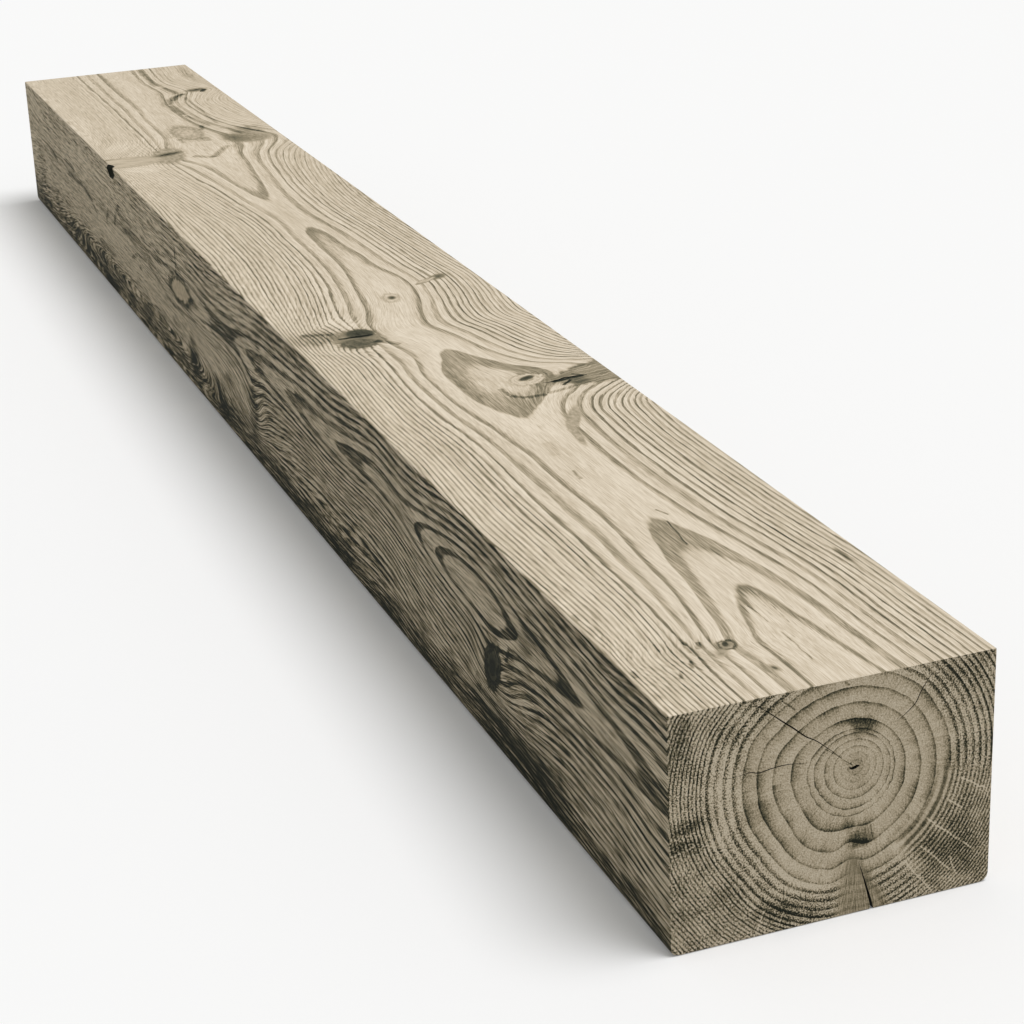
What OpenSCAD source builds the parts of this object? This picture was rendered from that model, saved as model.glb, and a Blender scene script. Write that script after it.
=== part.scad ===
// Heavy pressure-treated softwood timber, sawn with the heart of the tree inside it.
// X runs along the timber towards the end that shows the pith, Y runs across its width and Z is up.
// The origin is at the middle of the lower face. All sizes are in millimetres.

/* [Timber] */
// Length from sawn end to sawn end
length = 1800; // [1500:50:3600]
// Width of the section as the timber lies
width = 190; // [170:1:250]
// Height of the section as the timber lies
height = 140; // [125:1:200]

/* [Arrises] */
// Radius on the two upper long edges
upper_arris_r = 1.2; // [0.6:0.1:5]
// Radius on the two lower long edges, which are more worn
lower_arris_r = 5; // [0.6:0.1:8]

/* [Heart] */
// Distance of the pith from the middle of the width
pith_y = 12; // [-20:1:30]
// Height of the pith above the lower face
pith_z = 88; // [75:1:100]
// Length of the split that opens the pith
pith_split_l = 7; // [4:0.5:12]
// Width of the split that opens the pith
pith_split_w = 1.6; // [0.6:0.1:3]
// Direction of the split that opens the pith
pith_split_angle = 155; // [120:1:180]
// How far the pith's split runs into the end
pith_split_depth = 25; // [10:1:60]

/* [Seasoning checks in the end] */
// Direction of the heart check from the pith, which runs out through the upper face
heart_check_angle = 140; // [130:1:150]
// Width of the heart check at its mouth
heart_check_w = 0.9; // [0.4:0.1:2]
// How far the heart check runs into the end
heart_check_depth = 30; // [10:5:200]
// Direction of the check towards the left side
left_check_angle = 172; // [165:1:180]
// Direction of the check towards the upper right arris
right_check_angle = 42; // [35:1:50]
// Length of the left and right checks
side_check_l = 38; // [20:1:45]
// Distance from the pith to where the left and right checks begin
side_check_start = 32; // [20:1:40]
// Width of the left and right checks at their mouths
side_check_w = 0.6; // [0.3:0.1:1.5]
// How far the left and right checks run into the end
side_check_depth = 45; // [15:5:120]

/* [Knot split in the end] */
// Distance of the knot's split from the pith, across the width, where it meets the lower face
end_knot_split_y = 11; // [5:1:16]
// Distance of the split's upper tip from the pith, across the width
end_knot_split_tip_y = 3; // [0:1:8]
// How far the knot's split reaches up the end face
end_knot_split_h = 31; // [15:1:45]
// How far the knot's split bends away from a straight line
end_knot_split_bend = 1; // [0:0.5:3]
// Width of the knot's split at the lower face
end_knot_split_w = 2.2; // [0.8:0.1:4]
// How far the knot's split runs into the end
end_knot_split_depth = 70; // [20:5:150]

/* [Knot splits in the upper face] */
// Depth of the splits that dry across the knots
knot_split_depth = 14; // [6:1:30]
// Width of those splits at their widest
knot_split_w = 2.4; // [1:0.1:4]
// How far those splits wander from a straight line
knot_split_wander = 0.8; // [0:0.1:2]

/* [Arris pocket] */
// Distance from the checked end to the middle of the pocket that an edge knot left
pocket_from_end = 1330; // [1200:10:1420]
// Length of the pocket along the arris
pocket_l = 38; // [20:1:60]
// Radius of the pocket at its widest
pocket_r = 6.5; // [5:0.5:14]
// Depth of the pocket's centre line below the upper face
pocket_drop = 5.5; // [1:0.5:8]

/* [Hidden] */
$fn = 64;

// How far a cutting shape stands proud of the face that it cuts
proud = 1;
// How far a split that leaves the end face is drawn past its edge
run_out = 10;

// Splits across knots in the upper face: distance from the checked end, middle across the width,
// length, and direction measured from the long axis
KNOT_SPLITS = [
    [516, 57, 34, 100],
    [679, -46, 25, 90],
    [1350, -32, 28, 110],
    [1649, 69, 22, 106],
];

// A point at a distance and direction from the pith, in the plane of the end face
function from_pith(distance, angle) = [pith_y, pith_z] + distance * [cos(angle), sin(angle)];

// Distance from the pith to a level line above it, along a direction
function reach(level, angle) = (level - pith_z) / sin(angle);

// A straight line of a given length with its points moved to one side by turns
function wandering(l) = [for (i = [0:3]) [l * (i / 3 - 1 / 2), (i % 2) * knot_split_wander]];

// Unit vector square to the path at one of its points
function across(path, i) =
    let (
        before = path[max(i - 1, 0)],
        after = path[min(i + 1, len(path) - 1)],
        run = (after - before) / norm(after - before)
    )
    [-run[1], run[0]];

// A split that follows a path on the plane Z = 0 and narrows to a keel below it.
// It is `w` wide at the inner points of the path and comes to a point at both ends.
module split(path, w, depth) {
    last = len(path) - 1;
    half = w / 2 * (depth + proud) / depth;
    left = [for (i = [1:last - 1]) concat(path[i] + half * across(path, i), proud)];
    right = [for (i = [1:last - 1]) concat(path[i] - half * across(path, i), proud)];
    keel = [for (i = [1:last - 1]) concat(path[i], -depth)];
    inner = last - 1;
    start = 3 * inner;
    end = start + 1;
    mouth = concat([start], [for (i = [0:inner - 1]) i], [end], [for (i = [inner - 1:-1:0]) inner + i]);
    walls = [
        for (i = [0:1:inner - 2])
            for (side = [0, 1])
                let (a = side * inner + i, k = 2 * inner + i)
                    each side == 0
                        ? [[a, k, k + 1], [a, k + 1, a + 1]]
                        : [[a, k + 1, k], [a, a + 1, k + 1]]
    ];
    tips = [
        [start, 2 * inner, 0],
        [start, inner, 2 * inner],
        [end, inner - 1, 3 * inner - 1],
        [end, 3 * inner - 1, 2 * inner - 1],
    ];
    polyhedron(
        points = concat(left, right, keel, [concat(path[0], proud), concat(path[last], proud)]),
        faces = concat([mouth], walls, tips)
    );
}

// Puts a shape drawn on the plane Z = 0 onto the checked end, with X across and Y up the end face
module on_checked_end() {
    translate([length / 2, 0, 0]) rotate([90, 0, 90]) children();
}

// Puts a shape drawn on the plane Z = 0 onto the upper face, at a distance from the checked end
module on_upper_face(from_end, y, angle) {
    translate([length / 2 - from_end, y, height]) rotate([0, 0, angle]) children();
}

// The sawn section, with a radius on each long edge
module section() {
    side = width / 2;
    polygon([
        [-side + lower_arris_r, 0],
        [side - lower_arris_r, 0],
        [side, lower_arris_r],
        [side, height - upper_arris_r],
        [side - upper_arris_r, height],
        [-side + upper_arris_r, height],
        [-side, height - upper_arris_r],
        [-side, lower_arris_r],
    ]);
    for (s = [-1, 1]) {
        translate([s * (side - lower_arris_r), lower_arris_r]) circle(lower_arris_r);
        translate([s * (side - upper_arris_r), height - upper_arris_r]) circle(upper_arris_r);
    }
}

// The plain sawn length, before it dried
module sawn_length() {
    rotate([90, 0, 90]) translate([0, 0, -length / 2]) linear_extrude(length) section();
}

// The split that opens the pith
module pith_split() {
    half = pith_split_l / 2;
    split(
        [from_pith(-half, pith_split_angle), [pith_y, pith_z], from_pith(half, pith_split_angle)],
        pith_split_w, pith_split_depth
    );
}

// The check that runs from the pith out through the upper face
module heart_check() {
    out = reach(height, heart_check_angle);
    split(
        [
            for (distance = [pith_split_l, out / 2, out, reach(height + run_out, heart_check_angle)])
                from_pith(distance, heart_check_angle)
        ],
        heart_check_w, heart_check_depth
    );
}

// A check between the pith and a side, which ends before it reaches either
module side_check(angle) {
    split(
        [
            for (share = [0, 1 / 2, 1])
                from_pith(side_check_start + share * side_check_l, angle)
        ],
        side_check_w, side_check_depth
    );
}

// The split in the knot below the pith, which runs out through the lower face
module end_knot_split() {
    tip = [pith_y + end_knot_split_tip_y, end_knot_split_h];
    foot = [pith_y + end_knot_split_y, 0];
    past = foot + run_out * (foot - tip) / norm(foot - tip);
    split(
        [tip, (tip + foot) / 2 + [end_knot_split_bend, 0], foot, past],
        end_knot_split_w, end_knot_split_depth
    );
}

// The splits that drying opened in the checked end
module end_checks() {
    on_checked_end() {
        pith_split();
        heart_check();
        side_check(left_check_angle);
        side_check(right_check_angle);
        end_knot_split();
    }
}

// The splits that opened across the knots in the upper face
module knot_splits() {
    for (s = KNOT_SPLITS)
        let (from_end = s[0], y = s[1], l = s[2], angle = s[3])
            on_upper_face(from_end, y, angle) split(wandering(l), knot_split_w, knot_split_depth);
}

// The spindle-shaped hollow that a lost edge knot left in the left upper arris
module arris_pocket() {
    half = pocket_l / 2;
    arc_r = (half * half + pocket_r * pocket_r) / (2 * pocket_r);
    translate([length / 2 - pocket_from_end, -width / 2, height - pocket_drop])
        rotate([0, 90, 0])
            rotate_extrude()
                intersection() {
                    translate([pocket_r - arc_r, 0]) circle(arc_r);
                    translate([0, -half]) square([pocket_r, pocket_l]);
                }
}

// The whole timber: one piece of wood
module timber() {
    color("#c3b393")
        difference() {
            sawn_length();
            end_checks();
            knot_splits();
            arris_pocket();
        }
}

timber();
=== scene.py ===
"""Dresses a heavy pressure-treated softwood timber with its growth rings, knots, drying checks and stains.

Lengths in this file are millimetres in the timber's own frame unless a name or a property says otherwise:
X runs along the timber towards the end that shows the pith, Y across its width and Z up."""
from collections import namedtuple
from math import cos, radians, sin

import bmesh
import bpy
import numpy as np
from bpy.props import FloatProperty, FloatVectorProperty, IntProperty, PointerProperty
from mathutils import Euler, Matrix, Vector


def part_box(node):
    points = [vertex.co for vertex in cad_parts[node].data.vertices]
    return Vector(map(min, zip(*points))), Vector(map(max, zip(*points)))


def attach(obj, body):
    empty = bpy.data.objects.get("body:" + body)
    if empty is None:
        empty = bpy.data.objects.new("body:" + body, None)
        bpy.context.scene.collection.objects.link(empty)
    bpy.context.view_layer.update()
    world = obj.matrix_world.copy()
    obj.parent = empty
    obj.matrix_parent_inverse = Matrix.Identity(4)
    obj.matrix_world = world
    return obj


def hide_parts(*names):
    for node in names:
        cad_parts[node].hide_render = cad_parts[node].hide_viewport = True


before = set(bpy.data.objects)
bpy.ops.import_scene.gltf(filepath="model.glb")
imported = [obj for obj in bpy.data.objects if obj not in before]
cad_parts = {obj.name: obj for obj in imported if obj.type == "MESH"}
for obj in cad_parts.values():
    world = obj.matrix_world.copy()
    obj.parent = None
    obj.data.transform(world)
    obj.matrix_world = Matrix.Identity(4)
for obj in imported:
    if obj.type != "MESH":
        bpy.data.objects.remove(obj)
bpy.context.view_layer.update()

bl_info = {
    "name": "Treated Timber",
    "version": (1, 0, 0),
    "blender": (4, 5, 0),
    "location": "View3D > Sidebar > Timber",
    "description": "Makes a sawn softwood timber with rings, knots and drying checks, and a stage for it",
    "category": "Object",
}

NODE = "timber"
MM = 0.001
CAD_LOW, CAD_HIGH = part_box(NODE)
LENGTH, WIDTH, HEIGHT = (round(side / MM, 3) for side in CAD_HIGH - CAD_LOW)
NEAR_X = LENGTH / 2
SIDE_Y = WIDTH / 2

# The heart of the tree, as (across, up), at the end that shows it and at the other end
NEAR_PITH = (12.0, 88.0)
FAR_PITH = (10.0, 80.0)

# Outer radius of each growth ring from the pith, then an even width for the rings beyond
INNER_RINGS = (0, 5, 9, 13, 17.7, 22.9, 25.3, 33.5, 43.7, 53, 61.7, 67.5, 72.5, 77.5, 82, 86)
OUTER_RING_W = 3.5
OUTER_RING_COUNT = 60
OUTER_RINGS = INNER_RINGS[-1] + OUTER_RING_W * np.arange(1, OUTER_RING_COUNT)
RING_RADII = np.concatenate((INNER_RINGS, OUTER_RINGS))
RING_NUMBERS = np.arange(len(RING_RADII))
# How much narrower than listed the rings are towards the right and the left, and from which radius
RIGHT_NARROWING = 0.12
RIGHT_NARROW_FROM = 62
LEFT_NARROWING = 0.6
LEFT_NARROW_FROM = 84

# What each side of the timber shows of the rings, as points along X. lean: -1 and 1 for the narrow-ringed
# and wide-ringed sides; heart: where the rings' middle lies across the side; rings: the ring that shows
# there; low, high: how lines spread on either hand, under 1 where a knot pushes them out; plain: how much
# more than 1 the lines spread away from knots; squeeze: how much rings are narrowed near their middle.
Flank = namedtuple("Flank", "lean heart rings low high plain squeeze")
EVEN = ((-900, 1), (900, 1))
TOP = Flank(
    lean=0,
    heart=(
        (900, 7.5), (840, 8), (770, 10), (700, 8), (656, 7.5), (560, 6), (459, 6), (284, 5), (250, 3),
        (217, -2), (185, 2), (150, 9), (100, 16), (53, 16.5), (0, 16.5), (-70, 15), (-104, 14),
        (-155, 12), (-210, 10), (-300, 9), (-450, 8), (-635, 4), (-900, 10),
    ),
    rings=(
        (900, 9.5), (840, 9.65), (770, 10), (715, 10.5), (656, 11), (620, 11.15), (560, 11.2),
        (500, 11.15), (459, 11), (430, 10.75), (400, 10.5), (370, 10.4), (330, 10.5), (305, 10.8),
        (284, 11), (250, 11.25), (217, 11.46), (185, 11.4), (150, 11.2), (100, 11.1), (70, 11.3),
        (53, 11.45), (0, 11.63), (-50, 11.73), (-85, 11.84), (-104, 12), (-155, 12.25), (-210, 12),
        (-244, 11.85), (-303, 11.55), (-350, 11.4), (-450, 11.2), (-600, 11.25), (-700, 11.4),
        (-750, 11.3), (-900, 11.2),
    ),
    low=(
        (900, 1), (860, 0.95), (837, 0.85), (815, 0.93), (780, 0.97), (700, 0.93), (640, 0.9),
        (430, 0.9), (330, 0.93), (270, 0.88), (250, 0.72), (235, 0.6), (220, 0.55), (200, 0.6),
        (180, 0.8), (150, 0.95), (120, 1), (-350, 1), (-391, 0.85), (-415, 0.65), (-445, 0.55),
        (-470, 0.6), (-500, 0.8), (-530, 0.95), (-560, 1), (-900, 1),
    ),
    high=(
        (900, 1), (560, 1), (510, 1), (480, 0.98), (450, 0.93), (425, 0.75), (405, 0.55), (384, 0.42),
        (352, 0.45), (335, 0.7), (310, 0.88), (284, 0.95), (230, 1), (-330, 1), (-376, 0.88),
        (-410, 0.75), (-450, 0.55), (-480, 0.5), (-520, 0.6), (-560, 0.8), (-600, 0.95), (-640, 1),
        (-690, 1), (-720, 0.85), (-744, 0.75), (-770, 0.85), (-800, 1), (-900, 1),
    ),
    plain=0,
    squeeze=0,
)
LEFT = Flank(
    lean=-1,
    heart=(
        (900, 90), (850, 93), (794, 95), (640, 97), (500, 96), (430, 102), (315, 95.5), (188, 96),
        (79, 94), (0, 90), (-60, 86), (-150, 84), (-300, 83), (-900, 86),
    ),
    rings=(
        (900, 22.9), (850, 22.5), (794, 22), (750, 21.6), (690, 21), (645, 20.3), (580, 20.25),
        (538, 21), (494, 22), (470, 22.35), (430, 22.4), (390, 22.5), (315, 23), (250, 23.4), (188, 24),
        (130, 24.5), (79, 25), (40, 25.5), (0, 25.7), (-50, 25.5), (-82, 25), (-140, 24.75), (-197, 25),
        (-230, 25.4), (-300, 25.6), (-600, 25.7), (-900, 25.5),
    ),
    low=(
        (900, 1), (820, 1.03), (760, 1.07), (720, 0.98), (690, 0.84), (665, 0.7), (638, 0.62),
        (618, 0.8), (600, 1), (580, 1.1), (550, 1.15), (160, 1.15), (120, 0.95), (97, 0.7), (80, 0.65),
        (60, 0.85), (30, 1.12), (-900, 1.12),
    ),
    high=EVEN,
    plain=0.15,
    squeeze=0.45,
)
RIGHT = Flank(
    lean=1,
    heart=((900, 82.6), (600, 74), (200, 70), (-300, 78), (-900, 80)),
    rings=(
        (900, 16), (700, 16.5), (500, 17.2), (300, 17.8), (100, 17.3), (-150, 16.7), (-400, 17.5),
        (-650, 18.1), (-900, 17.6),
    ),
    low=EVEN,
    high=EVEN,
    plain=0,
    squeeze=0.1,
)
BOTTOM = Flank(
    lean=0,
    heart=((900, 7.5), (500, 2), (0, -6), (-500, 4), (-900, 8)),
    rings=(
        (900, 14.1), (650, 13.6), (400, 13.2), (150, 13.7), (-100, 14.4), (-400, 15.1), (-650, 14.6),
        (-900, 14.2),
    ),
    low=EVEN,
    high=EVEN,
    plain=0,
    squeeze=0,
)
FLANKS = {"top": TOP, "bottom": BOTTOM, "left": LEFT, "right": RIGHT}
# Where knots disturb the grain, as (along, across, up), with the reach and the strength of the waves
# there
DISTURBED = (
    ((838, -60, HEIGHT), 26, 3),
    ((380, 80, HEIGHT), 40, 2),
    ((226, -60, HEIGHT), 36, 3),
    ((100, 66, HEIGHT), 30, 2.5),
    ((-445, -40, HEIGHT), 45, 3),
    ((-480, 60, HEIGHT), 50, 3),
    ((-744, 68, HEIGHT), 40, 3),
    ((640, -SIDE_Y, 45), 50, 2),
    ((86, -SIDE_Y, 46), 40, 4),
    ((-400, -SIDE_Y, 112), 45, 4),
    ((-300, -SIDE_Y, 75), 90, 4),
)


def ease(low, high, value):
    """A smooth step from 0 at low to 1 at high."""
    t = np.clip((value - low) / (high - low), 0, 1)
    return t * t * (3 - 2 * t)


def curve(at, points):
    """A cubic between each two points, whose slope at a point is that of its neighbours."""
    xs, ys = np.array(sorted(points), float).T
    slope = np.gradient(ys, xs)
    i = np.clip(np.searchsorted(xs, at) - 1, 0, len(xs) - 2)
    run = xs[i + 1] - xs[i]
    t = np.clip((at - xs[i]) / run, 0, 1)
    start = ys[i] * (1 + 2 * t) + run * slope[i] * t
    end = ys[i + 1] * (3 - 2 * t) - run * slope[i + 1] * (1 - t)
    return start * (1 - t) ** 2 + end * t ** 2


def noise(x, y, z, seed, cells=32):
    """Random values from -1 to 1 on a unit lattice that repeats, eased between the lattice points."""
    table = np.random.default_rng(seed).uniform(-1, 1, (cells, cells, cells))
    floors = [np.floor(c).astype(int) for c in (x, y, z)]
    parts = [ease(0, 1, c - f) for c, f in zip((x, y, z), floors)]
    total = 0
    for corner in np.ndindex(2, 2, 2):
        weight = 1
        place = []
        for floor, part, bit in zip(floors, parts, corner):
            weight = weight * (part if bit else 1 - part)
            place.append((floor + bit) % cells)
        total = total + weight * table[tuple(place)]
    return total


def ring_at(radius, toward_right):
    """Ring number at a radius. Outer rings are narrower than the list says, more so to the left."""
    right = np.clip(toward_right, 0, 1)
    left = np.clip(-toward_right, 0, 1)
    narrow = RIGHT_NARROWING * right * np.maximum(radius - RIGHT_NARROW_FROM, 0)
    narrow = narrow + LEFT_NARROWING * left * np.maximum(radius - LEFT_NARROW_FROM, 0)
    return np.interp(radius + narrow, RING_RADII, RING_NUMBERS)


def radius_at(ring, toward_right):
    """The radius at which a ring number is reached, read back from ring_at."""
    radii = np.linspace(0, 200, 4001)
    return np.interp(ring, ring_at(radii, toward_right), radii)


def flank_rings(flank, x, across, depth, pith_across, pith_depth):
    """Ring number below one side, and the place across the side measured along the bent fibres. The
    ring number is that of the distance from a heart line, which runs below the side at the depth where
    the stated ring meets it, with the spread of the lines changed on either hand. Close to the heart
    line the centres drift to the pith."""
    heart = curve(x, flank.heart)
    u = across - heart
    heart_depth = radius_at(curve(x, flank.rings), flank.lean)
    out = heart_depth - depth
    squeeze = flank.squeeze * np.exp(-(u / 45) ** 2) * ease(0, 90, NEAR_X - np.abs(x))
    spread = np.where(u < 0, curve(x, flank.low), curve(x, flank.high))
    if flank.lean:
        plain = 1 + flank.plain * ease(0, 300, NEAR_X - np.abs(x))
        spread = plain + (spread - plain) * (1 - ease(40, 80, np.abs(u)))
    spread = spread + squeeze
    rho = np.hypot(u, out)
    flow = u * spread
    spread = 1 + (spread - 1) * ease(20, 60, rho)
    for _ in range(3):
        drift = 1 - ease(8, 42, rho)
        sideways = (u - drift * (pith_across - heart)) * spread
        rho = np.hypot(sideways, out - drift * (heart_depth - pith_depth))
    toward_right = flank.lean if flank.lean else u / 60
    return ring_at(rho, toward_right), flow


def ramp(low, high, value):
    """Rises from 0 at low to 1 at high, slowly at first."""
    return np.clip((value - low) / (high - low), 0, 1) ** 1.4


def ring_field(x, y, z):
    """Ring number anywhere in the timber, and the two places across it that the fibres follow. Each
    side gives its own ring number. At a shared long edge the hidden side is brought to what the side in
    view shows there. The sides are then blended by how near each one is, with each side alone on its
    own face. Knots add waves."""
    share = x / LENGTH + 0.5
    pith_y = FAR_PITH[0] + (NEAR_PITH[0] - FAR_PITH[0]) * share
    pith_z = FAR_PITH[1] + (NEAR_PITH[1] - FAR_PITH[1]) * share
    pith = {"top": (pith_y, HEIGHT - pith_z), "bottom": (pith_y, pith_z)}
    pith["left"] = (pith_z, pith_y + SIDE_Y)
    pith["right"] = (pith_z, SIDE_Y - pith_y)

    def shown(side, across, depth):
        return flank_rings(FLANKS[side], x, across, depth, *pith[side])

    def edge(side, across):
        return shown(side, across, 0)[0]

    depth = {"top": HEIGHT - z, "bottom": z, "left": y + SIDE_Y, "right": SIDE_Y - y}
    top, top_flow = shown("top", y, depth["top"])
    bottom, bottom_flow = shown("bottom", y, depth["bottom"])
    left, left_flow = shown("left", z, depth["left"])
    right, right_flow = shown("right", z, depth["right"])
    top = top + (edge("left", HEIGHT) - edge("top", -SIDE_Y)) * ramp(25, SIDE_Y, -y)
    right = right + (edge("top", SIDE_Y) - edge("right", HEIGHT)) * ramp(50, HEIGHT, z)
    bottom = bottom + (edge("left", 0) - edge("bottom", -SIDE_Y)) * ramp(10, SIDE_Y, -y)
    bottom = bottom + (edge("right", 0) - edge("bottom", SIDE_Y)) * ramp(10, SIDE_Y, y)
    total = 0
    weights = 0
    for side, rings in (("top", top), ("bottom", bottom), ("left", left), ("right", right)):
        weight = np.exp(14 * (1 - depth[side] / pith[side][1]))
        for other in FLANKS:
            if other != side:
                weight = weight * (0.003 + ease(0, 7, depth[other]))
        total = total + weight * rings
        weights = weights + weight
    unrest = 1
    for spot, reach, strength in DISTURBED:
        away = (x - spot[0]) ** 2 + (y - spot[1]) ** 2 + (z - spot[2]) ** 2
        unrest = unrest + strength * np.exp(-away / reach ** 2)
    waves = 0.10 * noise(x / 120, y / 28, z / 28, 3) + 0.05 * unrest * noise(x / 37, y / 9, z / 9, 5)
    notch = np.exp(-((y - 9) / 7) ** 2) * (1 - ease(46, 60, z)) * (1 - ease(0, 60, NEAR_X - x))
    flow_y = bottom_flow + (top_flow - bottom_flow) * z / HEIGHT
    flow_y = y + (flow_y - y) * ease(1, 9, np.minimum(depth["left"], depth["right"]))
    flow_z = left_flow + (right_flow - left_flow) * (y / WIDTH + 0.5)
    return total / weights + waves + 0.45 * notch, flow_y, flow_z


def section_outline(upper_r, lower_r, cell):
    """The section's outline as (across, up) points, anticlockwise seen from the near end: straight
    sides in even cells, and a quarter circle at each corner."""
    corners = (
        (SIDE_Y - lower_r, lower_r, lower_r, -90),
        (SIDE_Y - upper_r, HEIGHT - upper_r, upper_r, 0),
        (upper_r - SIDE_Y, HEIGHT - upper_r, upper_r, 90),
        (lower_r - SIDE_Y, lower_r, lower_r, 180),
    )
    runs = []
    for (y, z, r, start), (next_y, next_z, next_r, _) in zip(corners, corners[1:] + corners[:1]):
        turn = np.radians(np.linspace(start, start + 90, 4))
        runs.append(np.stack([y + r * np.cos(turn), z + r * np.sin(turn)], 1))
        first = runs[-1][-1]
        next_start = np.radians(start + 90)
        last = np.array([next_y + next_r * np.cos(next_start), next_z + next_r * np.sin(next_start)])
        count = max(2, round(np.hypot(*(last - first)) / cell))
        share = np.linspace(0, 1, count + 1)[1:-1, None]
        runs.append(first + share * (last - first))
    return np.concatenate(runs)


def timber_surface(sizes):
    """The whole skin as one grid: rings of points grow from the pith over the near end, run along the
    length as copies of the section's outline, and shrink to the pith over the far end. Returns points,
    quads and triangles."""
    outline = section_outline(sizes.upper_arris / MM, sizes.lower_arris / MM, sizes.cell_across / MM)
    worn = sizes.end_arris / MM
    count = len(outline)
    rows = []
    ends = ((NEAR_X, NEAR_PITH, sizes.near_end_rings), (-NEAR_X, FAR_PITH, sizes.far_end_rings))
    for end_x, pith, steps in ends:
        share = np.linspace(0, 1, steps + 1)[1:, None, None]
        reach = outline - pith
        reach = reach * (1 - worn / np.linalg.norm(reach, axis=1, keepdims=True))
        flat = pith + share * reach
        rows.append(np.concatenate([np.full(flat.shape[:2] + (1,), end_x), flat], 2))
    stations = round((LENGTH - 2 * worn) / (sizes.cell_along / MM))
    along = np.linspace(NEAR_X - worn, worn - NEAR_X, stations + 1)[:, None, None]
    shape = (stations + 1, count, 1)
    skin = np.concatenate([np.broadcast_to(along, shape), np.broadcast_to(outline, shape[:2] + (2,))], 2)
    grid = np.concatenate([rows[0], skin, rows[1][::-1]])
    height = len(grid)
    row, column = np.meshgrid(np.arange(height - 1), np.arange(count), indexing="ij")
    here = row * count + column
    aside = row * count + (column + 1) % count
    quads = np.stack([here, here + count, aside + count, aside], -1).reshape(-1, 4)
    poles = height * count + np.arange(2)
    ring = np.arange(count)
    turned = np.roll(ring, -1)
    last = (height - 1) * count
    fans = np.concatenate([
        np.stack([np.full(count, poles[0]), ring, turned], 1),
        np.stack([np.full(count, poles[1]), last + turned, last + ring], 1),
    ])
    middles = [(end_x, *pith) for end_x, pith, _ in ends]
    return np.concatenate([grid.reshape(-1, 3), middles]), quads, fans


# How far the blade of a split stands out of the face that it cuts
SPLIT_PROUD = 1.0


def blade(path, across, down, width, depth, widening=False):
    """A split to be cut out: a triangle carried along a path, as wide as the split at its mouth and
    pointed at its keel. It is full size over the middle of the path and shrinks to nothing at its ends,
    or it widens from its start to its end."""
    path = np.asarray(path, float)
    across = np.asarray(across, float)
    down = np.asarray(down, float)
    share = np.linspace(0, 1, len(path))
    size = share if widening else np.sin(np.pi * share) ** 0.6
    size = np.maximum(size, 0.04)[:, None]
    half = width / 2 * size * across
    mouth = path - SPLIT_PROUD * down
    keel = path + depth * size * down
    return np.stack([mouth + half, mouth - half, keel], 1)


def tube_faces(rows, columns):
    """Quads between the rows of a closed tube, and the two end faces."""
    row, column = np.meshgrid(np.arange(rows - 1), np.arange(columns), indexing="ij")
    here = row * columns + column
    aside = row * columns + (column + 1) % columns
    quads = np.stack([here, aside, aside + columns, here + columns], -1).reshape(-1, 4).tolist()
    first = list(range(columns))[::-1]
    last = list(range((rows - 1) * columns, rows * columns))
    return quads + [first, last]


# Splits in the near end, as (across, up) paths, with the width, the depth and whether the split widens
# along it: the pith, the heart check, the side checks and the knot below
END_SPLITS = (
    (((8.2, 88.6), (10, 87.6), (12, 88), (13.2, 88.4), (14.6, 88)), 1.9, 25, False),
    (
        ((4, 95), (-10, 107.5), (-17, 112), (-24, 118.2), (-31, 124), (-37, 129.2), (-50, 139.6)),
        0.8, 30, False,
    ),
    (((-18, 96.8), (-27, 98.2), (-36, 98), (-44, 97), (-49, 98.4), (-57.5, 97.4)), 0.6, 45, False),
    (((36, 109.5), (42, 113.5), (47, 118), (50, 124), (54, 130), (57, 134)), 0.6, 45, False),
    (((14.4, 32), (17, 24), (19.6, 15), (22.6, 4), (23.8, -4)), 2.2, 70, True),
)
# Splits across knots in the upper face: middle (along, across), length and direction in degrees
KNOT_SPLITS = (
    (384, 57, 34, 100),
    (221, -46, 25, 90),
    (-450, -32, 28, 110),
    (-749, 69, 22, 106),
)
KNOT_SPLIT_W = 2.4
KNOT_SPLIT_DEPTH = 14
POCKET = {"along": -430, "length": 38, "radius": 6.5, "drop": 5.5}


def smooth_path(points, steps=24):
    """Evenly spaced points on the cubic curve through a few points."""
    points = np.asarray(points, float)
    knots = np.arange(len(points))
    at = np.linspace(0, len(points) - 1, steps)
    return np.stack([curve(at, list(zip(knots, c))) for c in points.T], 1)


def end_split(points, width, depth, widening):
    """A split in the near end face, along a path on it."""
    flat = smooth_path(points)
    path = np.concatenate([np.full((len(flat), 1), NEAR_X), flat], 1)
    run = np.gradient(flat, axis=0)
    run = run / np.linalg.norm(run, axis=1, keepdims=True)
    across = np.stack([np.zeros(len(flat)), -run[:, 1], run[:, 0]], 1)
    return blade(path, across, (-1, 0, 0), width, depth, widening=widening)


def knot_split(along, across, length, turn):
    """A split in the upper face that wanders a little from a straight line."""
    s = np.linspace(-0.5, 0.5, 24)
    wander = 0.8 * np.sin(9 * s + along) + 0.4 * np.sin(23 * s)
    heading = np.array([cos(radians(turn)), sin(radians(turn)), 0])
    side = np.array([-heading[1], heading[0], 0])
    middle = np.array([along, across, HEIGHT])
    path = middle + length * s[:, None] * heading + wander[:, None] * side
    return blade(path, side, (0, 0, -1), KNOT_SPLIT_W, KNOT_SPLIT_DEPTH)


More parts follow.
